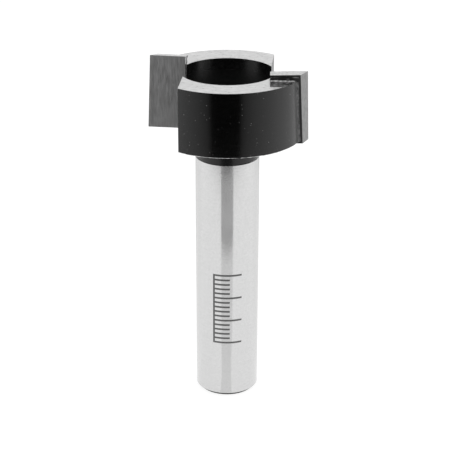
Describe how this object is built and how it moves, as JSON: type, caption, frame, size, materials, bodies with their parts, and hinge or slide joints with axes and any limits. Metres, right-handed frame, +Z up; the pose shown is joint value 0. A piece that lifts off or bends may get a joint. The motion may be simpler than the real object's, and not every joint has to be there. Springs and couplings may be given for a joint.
{
  "type": "mortise router bit",
  "caption": "Router bit for shallow mortises and hinge recesses: straight round shank, cup-shaped coated body with side gullets, and brazed carbide plates standing proud of the rim.",
  "frame": {"origin": "centre of the shank's end face, on which the bit stands", "axes": "+Z up the axis from the shank to the cutting end; the rake faces of the tips lie along X, the right-hand tip on +X facing +Y"},
  "size_m": [0.0318, 0.0296, 0.0699],
  "materials": {
    "tool_steel": "bright ground shank and rim face, satin black coating on the body, neck and cup",
    "carbide": "sintered tungsten carbide, ground dull grey on the rake face and brighter on the relief faces",
    "braze": "pale silver braze, left as it froze"
  },
  "bodies": {
    "root": {"cutter_body": "tool_steel", "carbide_tip_right": "carbide", "carbide_tip_left": "carbide", "braze_seam_right": "braze", "braze_seam_left": "braze"}
  },
  "joints": []
}
